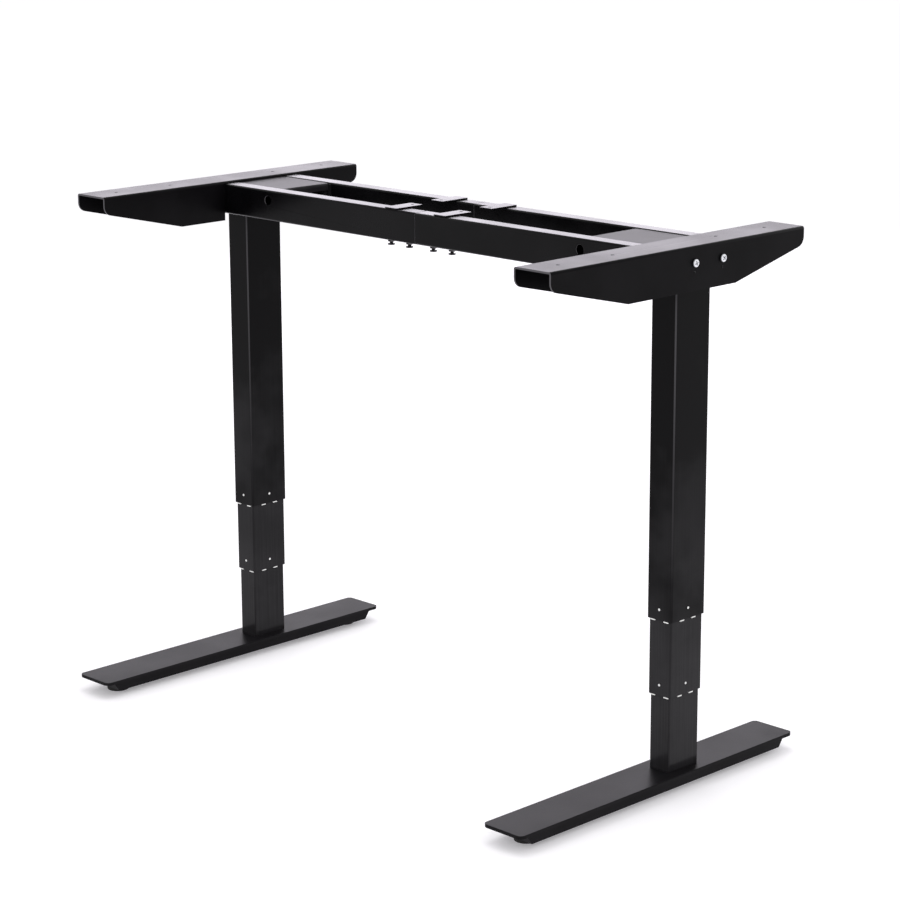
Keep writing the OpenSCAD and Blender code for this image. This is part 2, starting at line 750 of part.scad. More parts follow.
module foot_plate(side) {
    color(steel_grey) on_side(side) translate([leg_x, leg_y, foot_top]) difference() {
        linear_extrude(foot_plate_h)
            rounded_rect(inner_w - 2 * tube_t - 2 * slide_gap, inner_d - 2 * tube_t - 2 * slide_gap, nut_r);
        for (p = foot_screw_places()) translate([p.x, p.y, -cut])
            cylinder(d = screw_d + 2 * thread_gap, h = foot_plate_h + 2 * cut);
    }
}

module foot_screws(side) {
    color(zinc) on_side(side) for (p = foot_screw_places())
        translate([leg_x + p.x, leg_y + p.y, foot_top - foot_t]) difference() {
            union() {
                translate([0, 0, -screw_head_h]) cylinder(d = screw_head_d, h = screw_head_h);
                cylinder(d = screw_d, h = foot_t + foot_plate_h - tip_gap);
            }
            translate([0, 0, -screw_head_h - cut]) cylinder(d = socket_d, h = socket_depth + cut, $fn = 6);
        }
}

// Side of a foot's body between two heights, seen along the rails, with its slanted ends drawn in by a margin
module foot_body_outline(low, high, margin) {
    half_low = foot_l / 2 - foot_end_in - foot_end_slope - margin;
    reach = function (z) half_low + foot_end_slope * z / foot_h;
    polygon([[-reach(high), high], [-reach(low), low], [reach(low), low], [reach(high), high]]);
}

module foot_top_plate() {
    intersection() {
        translate([0, 0, foot_h - foot_rim]) linear_extrude(foot_rim) rounded_rect(foot_w, foot_l, foot_corner_r);
        translate([0, 0, foot_h]) along_y(foot_l) top_rounded(foot_w, foot_rim, foot_edge_r);
        translate([-foot_w / 2, 0, foot_h]) along_x(foot_w) top_rounded(foot_l, foot_rim, foot_edge_r);
    }
}

module foot(side) {
    inside_w = foot_body_w - 2 * foot_t;
    color(steel_black) on_side(side) translate([leg_x, 0, foot_gap]) difference() {
        union() {
            difference() {
                union() {
                    foot_top_plate();
                    intersection() {
                        translate([-foot_body_w / 2, 0, 0]) along_x(foot_body_w) foot_body_outline(0, foot_h, 0);
                        translate([0, 0, foot_h / 2 - foot_rim / 4])
                            cube([foot_w, foot_l, foot_h - foot_rim / 2], center = true);
                    }
                }
                translate([-inside_w / 2, 0, 0]) along_x(inside_w) foot_body_outline(-cut, foot_h - foot_t, foot_t);
            }
            for (s = [-1, 1]) translate([0, s * glide_y, 0]) cylinder(d = insert_d, h = foot_h - foot_t / 2);
        }
        for (s = [-1, 1]) translate([0, s * glide_y, -cut])
            cylinder(d = stud_d + 2 * thread_gap, h = foot_h - foot_t + cut);
        for (p = foot_screw_places()) translate([p.x, leg_y + p.y, foot_h - foot_t - cut])
            cylinder(d = screw_d + 2 * hole_gap, h = foot_t + 2 * cut);
    }
}

module levelling_glide(side, row) {
    stud_l = foot_gap + foot_h - foot_t - stud_short - pad_h;
    color(plastic_black) on_side(side) translate([leg_x, row * glide_y, 0]) {
        rotate_extrude() polygon([[0, 0], [pad_d / 2 - pad_bevel / 2, 0], [pad_d / 2, pad_bevel / 2],
            [pad_d / 2, pad_h - pad_bevel], [pad_d / 2 - pad_bevel, pad_h], [0, pad_h]]);
        translate([0, 0, pad_h - pad_bevel]) cylinder(d = stud_d, h = stud_l + pad_bevel);
    }
}

connecting_bar(front);  // front_connecting_bar
connecting_bar(rear);  // rear_connecting_bar
rail(left, front);  // left_front_rail
rail(right, front);  // right_front_rail
rail(left, rear);  // left_rear_rail
rail(right, rear);  // right_rear_rail
side_bracket(left);  // left_side_bracket
side_bracket(right);  // right_side_bracket
leg_cradle(left);  // left_leg_cradle
leg_cradle(right);  // right_leg_cradle
desktop_tab(left, front);  // left_front_tab
desktop_tab(right, front);  // right_front_tab
desktop_tab(left, rear);  // left_rear_tab
desktop_tab(right, rear);  // right_rear_tab
clamp_screws(left);  // left_clamp_screws
clamp_screws(right);  // right_clamp_screws
bracket_bolts(left);  // left_bracket_bolts
bracket_bolts(right);  // right_bracket_bolts
side_screws(left);  // left_side_screws
side_screws(right);  // right_side_screws
motor_cover(left);  // left_motor_cover
motor_cover(right);  // right_motor_cover
motor(left);  // left_motor
motor(right);  // right_motor
gearbox_housing(left);  // left_gearbox_housing
gearbox_housing(right);  // right_gearbox_housing
gearbox_lid(left);  // left_gearbox_lid
gearbox_lid(right);  // right_gearbox_lid
gearbox_screws(left);  // left_gearbox_screws
gearbox_screws(right);  // right_gearbox_screws
worm_wheel(left);  // left_worm_wheel
worm_wheel(right);  // right_worm_wheel
upper_spindle(left);  // left_upper_spindle
upper_spindle(right);  // right_upper_spindle
lower_spindle(left);  // left_lower_spindle
lower_spindle(right);  // right_lower_spindle
upper_nut(left);  // left_upper_nut
upper_nut(right);  // right_upper_nut
lower_nut(left);  // left_lower_nut
lower_nut(right);  // right_lower_nut
outer_tube(left);  // left_outer_tube
outer_tube(right);  // right_outer_tube
middle_tube(left);  // left_middle_tube
middle_tube(right);  // right_middle_tube
inner_tube(left);  // left_inner_tube
inner_tube(right);  // right_inner_tube
outer_glides(left);  // left_outer_glides
outer_glides(right);  // right_outer_glides
middle_glides(left);  // left_middle_glides
middle_glides(right);  // right_middle_glides
foot_plate(left);  // left_foot_plate
foot_plate(right);  // right_foot_plate
foot_screws(left);  // left_foot_screws
foot_screws(right);  // right_foot_screws
foot(left);  // left_foot
foot(right);  // right_foot
levelling_glide(left, front);  // left_front_glide
levelling_glide(right, front);  // right_front_glide
levelling_glide(left, rear);  // left_rear_glide
levelling_glide(right, rear);  // right_rear_glide
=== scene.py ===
# %% [markdown]
# # A height adjustable desk frame
# Two three stage legs stand on flat feet and carry sheet steel side brackets. Four rails join the two
# sides and slide over two hidden bars, so the frame can also grow wider. Almost every surface is steel
# under a satin black powder coat, so long reflections and thin lit edges are most of what the eye gets.
# The solids of all 60 pieces come ready from the frame. This lesson gives each its finish, rounds the
# edges of the sheet pieces and the rails, and makes the pieces whose shape needs more than a plain
# solid: screws with threads, bolt heads with a cross recess, and ribbed levelling pads.

# %% Load the frame
import math
import bpy
import bmesh
import numpy as np
from mathutils import Matrix, Vector


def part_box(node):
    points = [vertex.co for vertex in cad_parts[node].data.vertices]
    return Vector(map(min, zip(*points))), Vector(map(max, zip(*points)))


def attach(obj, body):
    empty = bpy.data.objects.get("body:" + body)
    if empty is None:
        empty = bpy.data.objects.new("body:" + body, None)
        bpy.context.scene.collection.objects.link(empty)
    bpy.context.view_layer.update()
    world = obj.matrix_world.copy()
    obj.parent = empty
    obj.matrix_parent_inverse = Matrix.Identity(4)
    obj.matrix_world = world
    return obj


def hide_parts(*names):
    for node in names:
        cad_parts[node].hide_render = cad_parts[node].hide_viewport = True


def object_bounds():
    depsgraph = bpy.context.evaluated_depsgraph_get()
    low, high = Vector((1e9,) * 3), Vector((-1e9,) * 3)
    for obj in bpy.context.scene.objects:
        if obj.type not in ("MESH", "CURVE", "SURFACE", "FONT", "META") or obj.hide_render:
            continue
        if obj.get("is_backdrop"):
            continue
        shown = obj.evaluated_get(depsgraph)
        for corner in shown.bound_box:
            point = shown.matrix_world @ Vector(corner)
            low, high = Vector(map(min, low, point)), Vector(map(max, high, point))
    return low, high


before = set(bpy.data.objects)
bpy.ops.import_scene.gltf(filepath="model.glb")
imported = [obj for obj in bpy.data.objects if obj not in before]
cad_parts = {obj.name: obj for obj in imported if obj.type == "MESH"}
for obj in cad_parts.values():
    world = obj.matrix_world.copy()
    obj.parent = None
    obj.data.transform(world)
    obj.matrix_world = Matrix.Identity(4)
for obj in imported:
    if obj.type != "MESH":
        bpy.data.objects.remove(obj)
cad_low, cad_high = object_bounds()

OUTWARD = {"left": -1, "right": 1}    # the way along X that each side's outer face looks
ROWS = ("front", "rear")
overall = [round(b - a, 4) for a, b in zip(cad_low, cad_high)]
print("loaded", len(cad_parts), "nodes, overall", overall)

# %% [markdown]
# ## The camera
# The photo was taken from the front right, looking a little down, with a long lens. A position, a
# direction and a focal length were fitted to it once, and they are written here as plain numbers, so
# that the frame appears at the same place and size in the picture.

# %% Camera
SENSOR_WIDTH, FOCAL_LENGTH = 36.0, 107.25    # millimetres
NEAREST, FARTHEST = 0.1, 60.0                # metres
TURN, TILT, ROLL = math.radians(45.416), math.radians(13.886), math.radians(-0.254)
EYE = Vector((3.107, -2.998, 1.537))

camera_data = bpy.data.cameras.new("camera")
camera_data.sensor_width = SENSOR_WIDTH
camera_data.lens = FOCAL_LENGTH
camera_data.clip_start, camera_data.clip_end = NEAREST, FARTHEST
camera = bpy.data.objects.new("camera", camera_data)
bpy.context.scene.collection.objects.link(camera)
bpy.context.scene.camera = camera

forward = Vector((-math.sin(TURN) * math.cos(TILT), math.cos(TURN) * math.cos(TILT), -math.sin(TILT)))
level = Vector((math.cos(TURN), math.sin(TURN), 0.0))
upward = level.cross(forward)
side_axis = level * math.cos(ROLL) + upward * math.sin(ROLL)
up_axis = upward * math.cos(ROLL) - level * math.sin(ROLL)
view = Matrix((side_axis, up_axis, -forward)).transposed().to_4x4()
view.translation = EYE
camera.matrix_world = view
print("camera at", [round(v, 3) for v in camera.location])

# %% [markdown]
# ## Shader maths as Python
# A finish is a graph of nodes. Adding each node by hand hides the formula, so a small class wraps a
# socket and lets Python's own operators add the Math nodes: `1 - mask * 0.3` then reads as maths.
# Everything that is not plain arithmetic comes from one method that takes a node's type, its settings
# and its inputs.

# %% A socket that understands arithmetic
class Wire:
    """One output in a graph of nodes. Python's operators on it add Math nodes."""

    def __init__(self, graph, socket):
        self.graph, self.socket = graph, socket

    def maths(self, operation, *values):
        """A Math node with these values or wires on its inputs, in their order."""
        return self.graph.add("ShaderNodeMath", {"operation": operation}, dict(enumerate(values)))

    def __add__(self, other):
        return self.maths("ADD", self, other)

    def __radd__(self, other):
        return self.maths("ADD", other, self)

    def __sub__(self, other):
        return self.maths("SUBTRACT", self, other)

    def __rsub__(self, other):
        return self.maths("SUBTRACT", other, self)

    def __mul__(self, other):
        return self.maths("MULTIPLY", self, other)

    def __rmul__(self, other):
        return self.maths("MULTIPLY", other, self)

    def absolute(self):
        """The value without its sign."""
        return self.maths("ABSOLUTE", self)

    def most(self, other):
        """The greater of two values."""
        return self.maths("MAXIMUM", self, other)

    def ease(self, low, high):
        """Rises smoothly from 0 at low to 1 at high."""
        return self.graph.add("ShaderNodeMapRange", {"interpolation_type": "SMOOTHSTEP"},
                              {"Value": self, "From Min": low, "From Max": high})


print("a wire can be added, subtracted and multiplied")

# %% [markdown]
# ## One way to add nodes
# Every graph here, be it a coat, the floor or the world, ends in one shader. Plain numbers go straight
# on the shader's own sockets, and only what changes over a surface is fed to it by a wire.

# %% A graph and its nodes
class Graph:
    """The nodes that feed one shader of a node tree."""

    def __init__(self, tree, shader, **plain_values):
        self.tree = tree
        self.shader = tree.nodes[shader]
        for key, value in plain_values.items():
            self.shader.inputs[key.replace("_", " ")].default_value = value

    def add(self, kind, settings=None, values=None, out=0):
        """Adds a node: settings first, then the values or wires of its inputs. Gives the chosen output."""
        node = self.tree.nodes.new(kind)
        for key, value in (settings or {}).items():
            setattr(node, key, value)
        for key, value in (values or {}).items():
            if isinstance(value, Wire):
                self.tree.links.new(value.socket, node.inputs[key])
            else:
                node.inputs[key].default_value = value
        return Wire(self, node.outputs[out])

    def feed(self, **wires):
        """Links each wire to the shader's socket of that name."""
        for key, wire in wires.items():
            self.tree.links.new(wire.socket, self.shader.inputs[key.replace("_", " ")])


print("a graph has", ", ".join(name for name in vars(Graph) if not name.startswith("_")))

# %% [markdown]
# ## Patterns in real sizes
# A grain or a scratch has a size in millimetres, and it must ride with its piece when a leg rises. So
# every pattern reads Object coordinates. Every piece has its object at the origin, so these coordinates
# are metres in the one frame that all pieces share, and a noise scale is a number of cells a metre.

# %% A finish and its patterns
class Finish(Graph):
    """The graph of a material's principled shader, with the patterns that coats and metals share."""

    def __init__(self, name, **plain_values):
        self.material = bpy.data.materials.new(name)
        self.material.use_nodes = True
        super().__init__(self.material.node_tree, "Principled BSDF", **plain_values)

    def place(self):
        """The point on the piece, in metres, as it lies at rest."""
        return self.add("ShaderNodeTexCoord", out="Object")

    def stretched(self, along_x, along_y, along_z):
        """The point with each axis scaled, so that a noise read there is drawn out along an axis."""
        return self.add("ShaderNodeVectorMath", {"operation": "MULTIPLY"},
                        {0: self.place(), 1: (along_x, along_y, along_z)})

    def part_of(self, vector, axis):
        """One axis of a vector."""
        return self.add("ShaderNodeSeparateXYZ", {}, {"Vector": vector}, out="XYZ".index(axis))

    def normal(self):
        """The direction that the surface faces, one unit long."""
        return self.add("ShaderNodeNewGeometry", out="Normal")

    def facing(self, axis):
        """How far the surface faces along an axis, either way, from 0 to 1."""
        return self.part_of(self.normal(), axis).absolute()

    def noise(self, scale, detail=2.0, rough=0.5, point=None):
        """A noise from 0 to 1 with scale cells a metre, read at the piece's own point or a stretched one."""
        return self.add("ShaderNodeTexNoise", {"noise_dimensions": "3D"},
                        {"Vector": point or self.place(), "Scale": scale, "Detail": detail,
                         "Roughness": rough})

    def blend(self, mask, first, second):
        """First colour where the mask is 0, second where it is 1. A Mix node has its colours at 6 and 7."""
        first, second = (tone if isinstance(tone, Wire) else (*tone, 1.0) for tone in (first, second))
        return self.add("ShaderNodeMix", {"data_type": "RGBA"}, {0: mask, 6: first, 7: second}, out=2)

    def bump(self, height, depth, strength=0.6):
        """A normal tilted by a height from 0 to 1, where 1 stands depth metres proud."""
        return self.add("ShaderNodeBump", {}, {"Height": height, "Distance": depth, "Strength": strength})

    def finished(self, **wires):
        """The material, once the wires are fed to its shader."""
        self.feed(**wires)
        return self.material


print("a finish also has", ", ".join(name for name in vars(Finish) if not name.startswith("_")))

# %% Pieces by name
def nodes_called(*names):
    """The frame's objects of these names, or both sides' objects where a name has no side."""
    return [piece for name in names for node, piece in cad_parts.items()
            if node in (name, f"left_{name}", f"right_{name}")]


def dress(material, *names):
    """Puts one material on the named pieces."""
    pieces = nodes_called(*names)
    for piece in pieces:
        piece.data.materials.clear()
        piece.data.materials.append(material)
    print(material.name, "on", len(pieces), "pieces")


print("a name without a side finds", len(nodes_called("foot")), "pieces")

# %% [markdown]
# ## Black powder coat
# Powder coat is plastic baked on steel. It has a fine orange peel about a millimetre across, a tone
# that drifts a little over a hand's width, and tiny dust specks. It looks black from the front and
# almost white at a grazing angle, because a smooth film mirrors its surroundings there. The shader
# makes that by itself from its index of refraction, so the graph only has to vary colour, roughness
# and the bump. On the cut ends of the rails and brackets and on what faces down, painted light blends
# the coat to a lighter grey. The direction that a face looks in is enough to find such places.

# %% Powder coat
DRIFT, PEEL, DUST = 9.0, 820.0, 1500.0    # cells a metre: a hand's width, 1.2 mm and 0.7 mm
PEEL_HEIGHT = 0.00002
# painted light: the lighter grey that end faces and undersides are blended to
PAINTED_EDGE_LIGHT = (0.125, 0.120, 0.130)


def powder_coat(name, tones, roughness, ior, ends=None):
    """Colour = from the first tone to the second by a slow noise, plus specks four times the second.
    Bump = noise of 1.2 mm grain. Where an axis is given for the ends, the faces that look along it or
    down blend to a lighter grey, which is painted light."""
    coat = Finish(name, IOR=ior, Metallic=0.0)
    drift = coat.noise(DRIFT, 3.0, 0.55).ease(0.3, 0.7)
    specks = coat.noise(DUST, 1.0).ease(0.70, 0.76)
    grain = coat.noise(PEEL, 2.0, 0.45)
    tone = coat.blend(drift, *tones)
    tone = coat.blend(specks * 0.35, tone, tuple(4 * c for c in tones[1]))
    # painted light: faces that look along the axis or down are blended to a lighter grey
    if ends:
        under = coat.part_of(coat.normal(), "Z") * -1
        cut = coat.facing(ends).most(under).ease(0.45, 0.68)
        tone = coat.blend(cut * 0.8, tone, PAINTED_EDGE_LIGHT)
    rough = roughness + (drift - 0.5) * 0.05 + (grain - 0.5) * 0.08
    return coat.finished(Base_Color=tone, Roughness=rough, Normal=coat.bump(grain, PEEL_HEIGHT))


RAIL_TONES = (0.0012, 0.0011, 0.0014), (0.0034, 0.0031, 0.0038)
BRACKET_TONES = (0.0018, 0.0016, 0.0020), (0.0042, 0.0038, 0.0046)
FOOT_TONES = (0.0065, 0.0060, 0.0070), (0.0105, 0.0098, 0.0112)
CRADLE_TONES = (0.0080, 0.0075, 0.0085), (0.0120, 0.0112, 0.0125)
dress(powder_coat("rail coat", RAIL_TONES, roughness=0.25, ior=1.20, ends="X"), "front_rail", "rear_rail")
dress(powder_coat("tab coat", RAIL_TONES, roughness=0.25, ior=1.20), "front_tab", "rear_tab")
dress(powder_coat("bracket coat", BRACKET_TONES, roughness=0.32, ior=1.15, ends="Y"), "side_bracket")
dress(powder_coat("foot coat", FOOT_TONES, roughness=0.40, ior=1.15), "foot")
dress(powder_coat("cradle coat", CRADLE_TONES, roughness=0.42, ior=1.20), "leg_cradle")

# %% [markdown]
# ## Drawn tubes
# The leg stages wear the same coat over drawn steel. The two inner stages show faint upright lines,
# because their coat is thin and glides rub along them. A noise that is read about 150 times finer
# across than along the tube gives such lines. The wide outer tube is nearly plain. Towards its top it
# gets a painted shade, and its rounded corners there carry a painted highlight as thin grey lines.

# %% Tube coats
LINES_ACROSS, LINES_ALONG, TUBE_DRIFT = 700.0, 4.5, 7.0    # cells a metre
# painted highlight: the lighter grey of the outer tube's rounded corners up high
PAINTED_CORNER_HIGHLIGHT = (0.085, 0.082, 0.088)


def tube_coat(name, tones, roughness, ior, marks, fade=None):
    """Colour and roughness = a slow noise plus upright lines, where marks says how strong the lines are.
    Bump = grain plus lines. Fade gives two heights. From the lower to the upper a painted shade darkens
    the tone, and the corners, where the normal leans along X and Y alike, blend to a painted highlight."""
    coat = Finish(name, IOR=ior, Metallic=0.0)
    point = coat.stretched(LINES_ACROSS, LINES_ACROSS, LINES_ALONG)
    lines = coat.noise(1.0, 3.0, 0.6, point).ease(0.30, 0.72)
    drift = coat.noise(TUBE_DRIFT, 3.0, 0.6).ease(0.3, 0.7)
    grain = coat.noise(PEEL, 2.0, 0.45)
    shade = drift * 0.5 + lines * marks
    # painted shade: darker towards the top; painted highlight on the rounded corners there
    if fade:
        rise = coat.part_of(coat.place(), "Z").ease(*fade)
        corner = coat.facing("X").ease(0.2, 0.5) * coat.facing("Y").ease(0.2, 0.5)
        tone = coat.blend(corner * rise * 0.8, coat.blend(shade - rise * 0.5, *tones), PAINTED_CORNER_HIGHLIGHT)
    else:
        tone = coat.blend(shade, *tones)
    rough = roughness + (drift - 0.5) * 0.06 + (lines - 0.5) * 0.16 * marks
    height = grain * (1.0 - 0.5 * marks) + lines * (1.2 * marks)
    return coat.finished(Base_Color=tone, Roughness=rough, Normal=coat.bump(height, PEEL_HEIGHT))


OUTER_TONES = (0.0014, 0.0012, 0.0016), (0.0320, 0.0308, 0.0332)
STAGE_TONES = (0.0100, 0.0094, 0.0106), (0.0300, 0.0288, 0.0312)
outer_coat = tube_coat("outer tube coat", OUTER_TONES, roughness=0.32, ior=1.16, marks=0.08,
                       fade=(0.25, 0.75))
stage_coat = tube_coat("stage coat", STAGE_TONES, roughness=0.17, ior=1.20, marks=0.35)
dress(outer_coat, "outer_tube")
dress(stage_coat, "middle_tube", "inner_tube")

# %% [markdown]
# ## The motor cover
# The cover between the rails is a thinner sheet with a greyer coat, which mirrors the room softly. Slow
# waves in its bump, as thin sheet has after bending, keep that reflection from looking flat.

# %% Cover coat
COVER_TONES = (0.012, 0.0112, 0.0126), (0.020, 0.019, 0.021)
WAVE, WAVE_HEIGHT = 14.0, 0.00010    # cells a metre, and metres
COVER_GRAIN = 900.0


def cover_coat(name):
    """Colour = by a slow noise. Bump = the same noise, 0.1 mm high for the waves of a thin sheet, plus a
    fine grain."""
    coat = Finish(name, IOR=1.115, Metallic=0.0)
    waves = coat.noise(WAVE)
    grain = coat.noise(COVER_GRAIN, 2.0, 0.45)
    tone = coat.blend(waves.ease(0.3, 0.7), *COVER_TONES)
    bump = coat.bump(grain * 0.12 + waves, WAVE_HEIGHT, 0.5)
    return coat.finished(Base_Color=tone, Roughness=0.36 + (grain - 0.5) * 0.08, Normal=bump)


dress(cover_coat("cover coat"), "motor_cover")

# %% [markdown]
# ## Bare metals
# Screws are zinc plated, bars and spindles are drawn or turned steel, the gearbox is cast alloy and
# the worm wheel is bronze. They share one recipe: a metal whose roughness and bump follow the marks of
# the tool. Turned pieces have rings, drawn bars have lines along X, and cast or plated ones an even
# grain. The heads of the bracket bolts also get a painted shade on the walls of their recess.

# %% Metals
TOOL_MARK, CAST_MARK = 0.00002, 0.00006    # heights in metres
STAIN = 60.0                               # cells a metre
# painted shade: the dark tone for the walls of a recess
PAINTED_RECESS_SHADE = (0.26, 0.265, 0.28)


def even(scale, detail=2.0, rough=0.5):
    """Marks without a direction: a noise with scale cells a metre."""
    return lambda finish: finish.noise(scale, detail, rough)


def drawn_out(along_x, along_y, along_z):
    """Marks in lines: a noise with so many cells a metre along each axis, few of them along the lines."""
    return lambda finish: finish.noise(1.0, 3.0, 0.6, finish.stretched(along_x, along_y, along_z))


def metal(name, tones, roughness, marks_of, depth=TOOL_MARK, axis=None):
    """Colour = towards the second tone where a slow noise is high. Roughness and bump = by the marks.
    Where an axis is given, what doesn't face along it gets a painted shade, as in the shade of a recess."""
    bare = Finish(name, Metallic=1.0)
    marks = marks_of(bare)
    stain = bare.noise(STAIN, 3.0, 0.6).ease(0.35, 0.75)
    tone = bare.blend(stain * 0.5, *tones)
    # painted shade: what doesn't face along the axis is darkened
    if axis:
        tone = bare.blend(1.0 - bare.facing(axis).ease(0.55, 0.93), tone, PAINTED_RECESS_SHADE)
    rough = roughness + (marks - 0.5) * 0.16 + stain * 0.06
    return bare.finished(Base_Color=tone, Roughness=rough, Normal=bare.bump(marks, depth, 0.5))


print("tool marks and cast grain in mm", [round(1000 * height, 3) for height in (TOOL_MARK, CAST_MARK)])

# %% Metals on their pieces
ZINC_TONES = (0.82, 0.83, 0.86), (0.68, 0.70, 0.76)
TURNED_TONES = (0.56, 0.56, 0.58), (0.44, 0.43, 0.42)
DRAWN_TONES = (0.42, 0.42, 0.44), (0.33, 0.32, 0.32)
CAST_TONES = (0.58, 0.59, 0.61), (0.48, 0.48, 0.49)
BRONZE_TONES = (0.50, 0.34, 0.14), (0.38, 0.25, 0.11)
OXIDE_TONES = (0.035, 0.035, 0.038), (0.055, 0.050, 0.048)

zinc = metal("zinc plate", ZINC_TONES, 0.22, even(600.0))
# bolt heads with painted shade in their cross recess
zinc_head = metal("zinc bolt head", ZINC_TONES, 0.22, even(600.0), axis="X")
turned = metal("turned steel", TURNED_TONES, 0.28, drawn_out(3.0, 3.0, 900.0))
drawn = metal("drawn steel", DRAWN_TONES, 0.36, drawn_out(6.0, 900.0, 900.0))
cast = metal("cast alloy", CAST_TONES, 0.48, even(900.0, 3.0, 0.6), CAST_MARK)
bronze = metal("bronze", BRONZE_TONES, 0.34, drawn_out(3.0, 3.0, 700.0))
oxide = metal("black oxide", OXIDE_TONES, 0.36, even(700.0))

dress(zinc, "side_screws", "gearbox_screws", "foot_screws")
dress(zinc_head, "bracket_bolts")
dress(turned, "upper_spindle", "lower_spindle")
dress(drawn, "front_connecting_bar", "rear_connecting_bar", "foot_plate")
dress(cast, "gearbox_housing", "gearbox_lid")
dress(bronze, "worm_wheel")
dress(oxide, "clamp_screws")

# %% [markdown]
# ## Plastics, enamel and rubber
# The glides and nuts are white acetal, a waxy plastic with a slight cloud in it. The motor wears
# gloss enamel with a little more orange peel than the powder coat, and the pads are moulded rubber
# with a dull, dusty skin.

# %% Plastics and enamel
ACETAL_TONES = (0.93, 0.93, 0.92), (0.88, 0.88, 0.86)
ENAMEL_TONES = (0.012, 0.012, 0.013), (0.018, 0.018, 0.019)
RUBBER_TONES = (0.012, 0.012, 0.012), (0.022, 0.021, 0.021)
CLOUD = 45.0    # cells a metre


def moulded(name, tones, roughness, grain_scale, depth):
    """Plastic, enamel or rubber: two close tones in slow clouds, and a fine grain."""
    skin = Finish(name, IOR=1.46, Metallic=0.0)
    cloud = skin.noise(CLOUD, 3.0, 0.6).ease(0.3, 0.7)
    grain = skin.noise(grain_scale)
    tone = skin.blend(cloud, *tones)
    rough = roughness + (grain - 0.5) * 0.14
    return skin.finished(Base_Color=tone, Roughness=rough, Normal=skin.bump(grain, depth))


acetal = moulded("white acetal", ACETAL_TONES, 0.42, 900.0, 0.00001)
enamel = moulded("motor enamel", ENAMEL_TONES, 0.20, 420.0, 0.00004)
rubber = moulded("pad rubber", RUBBER_TONES, 0.70, 1400.0, 0.00005)
dress(acetal, "outer_glides", "middle_glides", "upper_nut", "lower_nut")
dress(enamel, "motor")
dress(rubber, "front_glide", "rear_glide")

# %% [markdown]
# ## Soft edges
# No sheet edge is perfectly sharp. It has a round of a few tenths of a millimetre, and that round is
# what catches a thin line of light. On the rails it is wider, so that the seam where two rails meet
# shows as a line. A Bevel modifier makes such rounds without a new mesh. The solids arrive as loose
# triangles, so a Weld comes first, and the bevel is limited by angle so that only true edges are cut.

# %% Edge rounding
WELD_REACH, ROUND_STEPS = 0.00001, 2
TRUE_EDGE = math.radians(40)


def soften(width, *names):
    """Welds and bevels the named pieces: every edge sharper than 40 degrees gets a round of that width."""
    pieces = nodes_called(*names)
    for piece in pieces:
        weld = piece.modifiers.new("weld", "WELD")
        weld.merge_threshold = WELD_REACH
        bevel = piece.modifiers.new("round", "BEVEL")
        bevel.width, bevel.segments = width, ROUND_STEPS
        bevel.limit_method, bevel.angle_limit = "ANGLE", TRUE_EDGE
    print(len(pieces), "pieces rounded by", round(1000 * width, 2), "mm")


soften(0.0004, "side_bracket", "front_tab", "rear_tab")
soften(0.0008, "front_rail", "rear_rail")
soften(0.0003, "motor_cover")

# %% [markdown]
# ## Surfaces from formulas
# A new piece is a grid of points worked out at once with numpy. A turned piece carries a profile of
# radius and height once round the Z axis, and a function may then change radius or height by angle,
# which is enough for threads, recesses and ribs.

# %% Profile to grid
def rows_of(radius, height):
    """Rows of a profile: the radius, the height or both may be a whole array, and a number is repeated."""
    return np.stack(np.broadcast_arrays(np.atleast_1d(radius), np.atleast_1d(height)), -1)


def turned_grid(profile, turns, shape):
    """Carries a profile of (radius, height) rows round Z in so many steps: the point at an angle is
    (radius * cos, radius * sin, height), after shape(radius, height, angle) has moved both."""
    radius, height = profile.T[:, :, None]
    angle = np.linspace(0.0, 2 * np.pi, turns, endpoint=False)[None, :]
    radius, height = shape(*np.broadcast_arrays(radius + 0 * angle, height + 0 * angle), angle)
    return np.stack([radius * np.cos(angle), radius * np.sin(angle), height], -1)


rod = rows_of(0.003, np.linspace(0.0, 0.01, 5))
print("a rod of 5 rows in 8 steps is a grid of", turned_grid(rod, 8, lambda r, h, a: (r, h)).shape)

# %% Grid to mesh
SAME_POINT = 1e-7


def turned_mesh(name, profile, turns, shape):
    """Joins the turned grid with quads, the last column with the first, and welds its poles."""
    points = turned_grid(profile, turns, shape)
    rows, columns = points.shape[:2]
    index = np.arange(rows * columns).reshape(rows, columns)
    index = np.hstack([index, index[:, :1]])
    quads = np.stack([index[:-1, :-1], index[:-1, 1:], index[1:, 1:], index[1:, :-1]], -1).reshape(-1, 4)
    mesh = bpy.data.meshes.new(name)
    mesh.from_pydata(points.reshape(-1, 3).tolist(), [], quads.tolist())
    work = bmesh.new()
    work.from_mesh(mesh)
    bmesh.ops.remove_doubles(work, verts=work.verts, dist=SAME_POINT)
    bmesh.ops.recalc_face_normals(work, faces=work.faces)
    work.to_mesh(mesh)
    work.free()
    print(name, "has", len(mesh.polygons), "faces")
    return mesh


# %% Mesh to piece
SMOOTH_BELOW = math.radians(40)


def moved(mesh, matrix):
    """A copy of a mesh put in place."""
    copy = mesh.copy()
    copy.transform(matrix)
    return copy


def piece_from(name, meshes, material, body, nodes=()):
    """Joins meshes into one piece at the origin, shades it smooth, and hands it to its body."""
    work = bmesh.new()
    for mesh in meshes:
        work.from_mesh(mesh)
    joined = bpy.data.meshes.new(name)
    work.to_mesh(joined)
    work.free()
    joined.materials.append(material)
    joined.shade_smooth()
    joined.set_sharp_from_angle(angle=SMOOTH_BELOW)
    piece = bpy.data.objects.new(name, joined)
    bpy.context.scene.collection.objects.link(piece)
    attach(piece, body)
    if nodes:
        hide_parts(*nodes)


print("edges under", round(math.degrees(SMOOTH_BELOW)), "degrees are shaded smooth")

